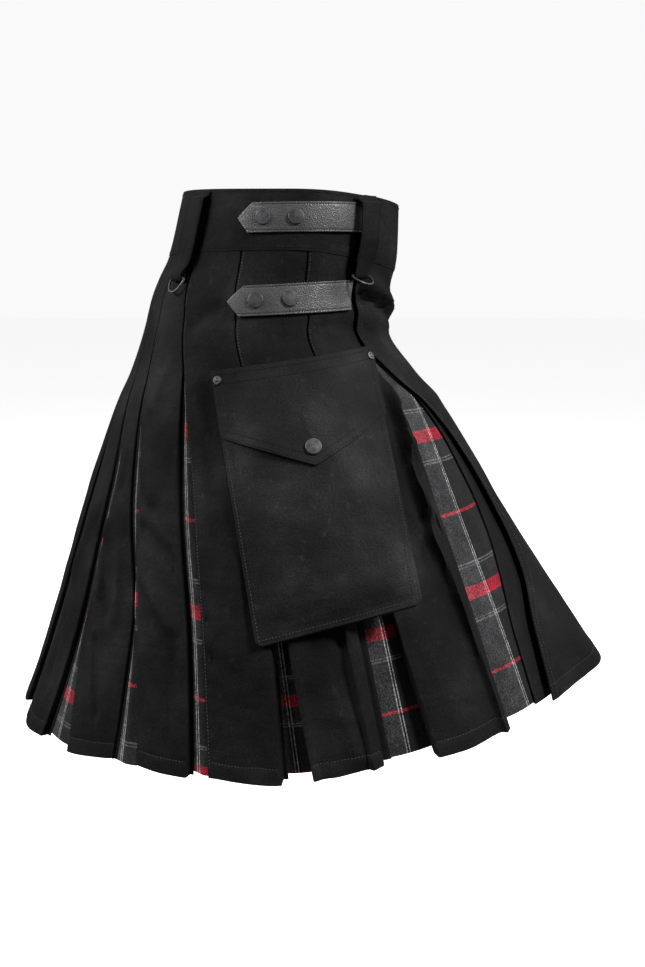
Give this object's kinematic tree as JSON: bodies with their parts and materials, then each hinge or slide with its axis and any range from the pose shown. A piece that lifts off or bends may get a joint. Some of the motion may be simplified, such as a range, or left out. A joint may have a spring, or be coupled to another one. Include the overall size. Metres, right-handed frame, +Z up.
{
  "type": "hybrid utility kilt",
  "caption": "Worn-form pleated utility kilt in black drill with checked wool insets, cargo pockets, leather side straps with snaps, belt loops and D-rings.",
  "frame": {"origin": "centre of the waistband's ring, half way up it, on the wearer's middle line", "axes": "+Z up, -Y towards the front of the kilt, -X towards the wearer's right"},
  "size_m": [0.6055, 0.6671, 0.5954],
  "materials": {
    "black_drill": "matt cotton drill, fine twill",
    "check_wool": "matt twilled wool, grey and black check with red and white lines",
    "leather": "grained, soft sheen",
    "gunmetal": "dark plated, satin"
  },
  "bodies": {
    "kilt": {"waistband": "black_drill", "apron": "black_drill", "under_apron": "black_drill", "panel_back": "black_drill", "check_inset_right_1": "check_wool", "check_inset_right_2": "check_wool", "check_inset_right_3": "check_wool", "check_inset_right_4": "check_wool", "check_inset_right_5": "check_wool", "check_inset_right_6": "check_wool", "check_inset_right_7": "check_wool", "panel_right_1": "black_drill", "panel_right_2": "black_drill", "panel_right_3": "black_drill", "panel_right_4": "black_drill", "panel_right_5": "black_drill", "panel_right_6": "black_drill", "belt_loop_front_right": "black_drill", "belt_loop_back_right": "black_drill", "strap_upper_right": "leather", "strap_lower_right": "leather", "snap_upper_right_1": "gunmetal", "snap_upper_right_2": "gunmetal", "snap_lower_right_1": "gunmetal", "snap_lower_right_2": "gunmetal", "pocket_right": "black_drill", "pocket_flap_right": "black_drill", "pocket_snap_right": "gunmetal", "rivet_front_right": "gunmetal", "rivet_back_right": "gunmetal", "check_inset_left_1": "check_wool", "check_inset_left_2": "check_wool", "check_inset_left_3": "check_wool", "check_inset_left_4": "check_wool", "check_inset_left_5": "check_wool", "check_inset_left_6": "check_wool", "check_inset_left_7": "check_wool", "panel_left_1": "black_drill", "panel_left_2": "black_drill", "panel_left_3": "black_drill", "panel_left_4": "black_drill", "panel_left_5": "black_drill", "panel_left_6": "black_drill", "belt_loop_front_left": "black_drill", "belt_loop_back_left": "black_drill", "strap_upper_left": "leather", "strap_lower_left": "leather", "snap_upper_left_1": "gunmetal", "snap_upper_left_2": "gunmetal", "snap_lower_left_1": "gunmetal", "snap_lower_left_2": "gunmetal", "pocket_left": "black_drill", "pocket_flap_left": "black_drill", "pocket_snap_left": "gunmetal", "rivet_front_left": "gunmetal", "rivet_back_left": "gunmetal"},
    "d_ring_front_right": {"d_ring_front_right": "gunmetal"},
    "d_ring_back_right": {"d_ring_back_right": "gunmetal"},
    "d_ring_front_left": {"d_ring_front_left": "gunmetal"},
    "d_ring_back_left": {"d_ring_back_left": "gunmetal"}
  },
  "joints": [
    {"name": "d_ring_front_right_swing", "type": "hinge", "parent": "kilt", "child": "d_ring_front_right", "pos_m": [-0.12548, -0.06936, -0.06], "axis": [-0.7035, 0.7107, 0], "range_deg": [0, 60]},
    {"name": "d_ring_back_right_swing", "type": "hinge", "parent": "kilt", "child": "d_ring_back_right", "pos_m": [-0.1096, 0.13262, -0.063], "axis": [0.795, 0.6066, 0], "range_deg": [0, 100]},
    {"name": "d_ring_front_left_swing", "type": "hinge", "parent": "kilt", "child": "d_ring_front_left", "pos_m": [0.12548, -0.06936, -0.06], "axis": [-0.7035, -0.7107, 0], "range_deg": [0, 60]},
    {"name": "d_ring_back_left_swing", "type": "hinge", "parent": "kilt", "child": "d_ring_back_left", "pos_m": [0.1096, 0.13262, -0.063], "axis": [0.795, -0.6066, 0], "range_deg": [0, 100]}
  ]
}
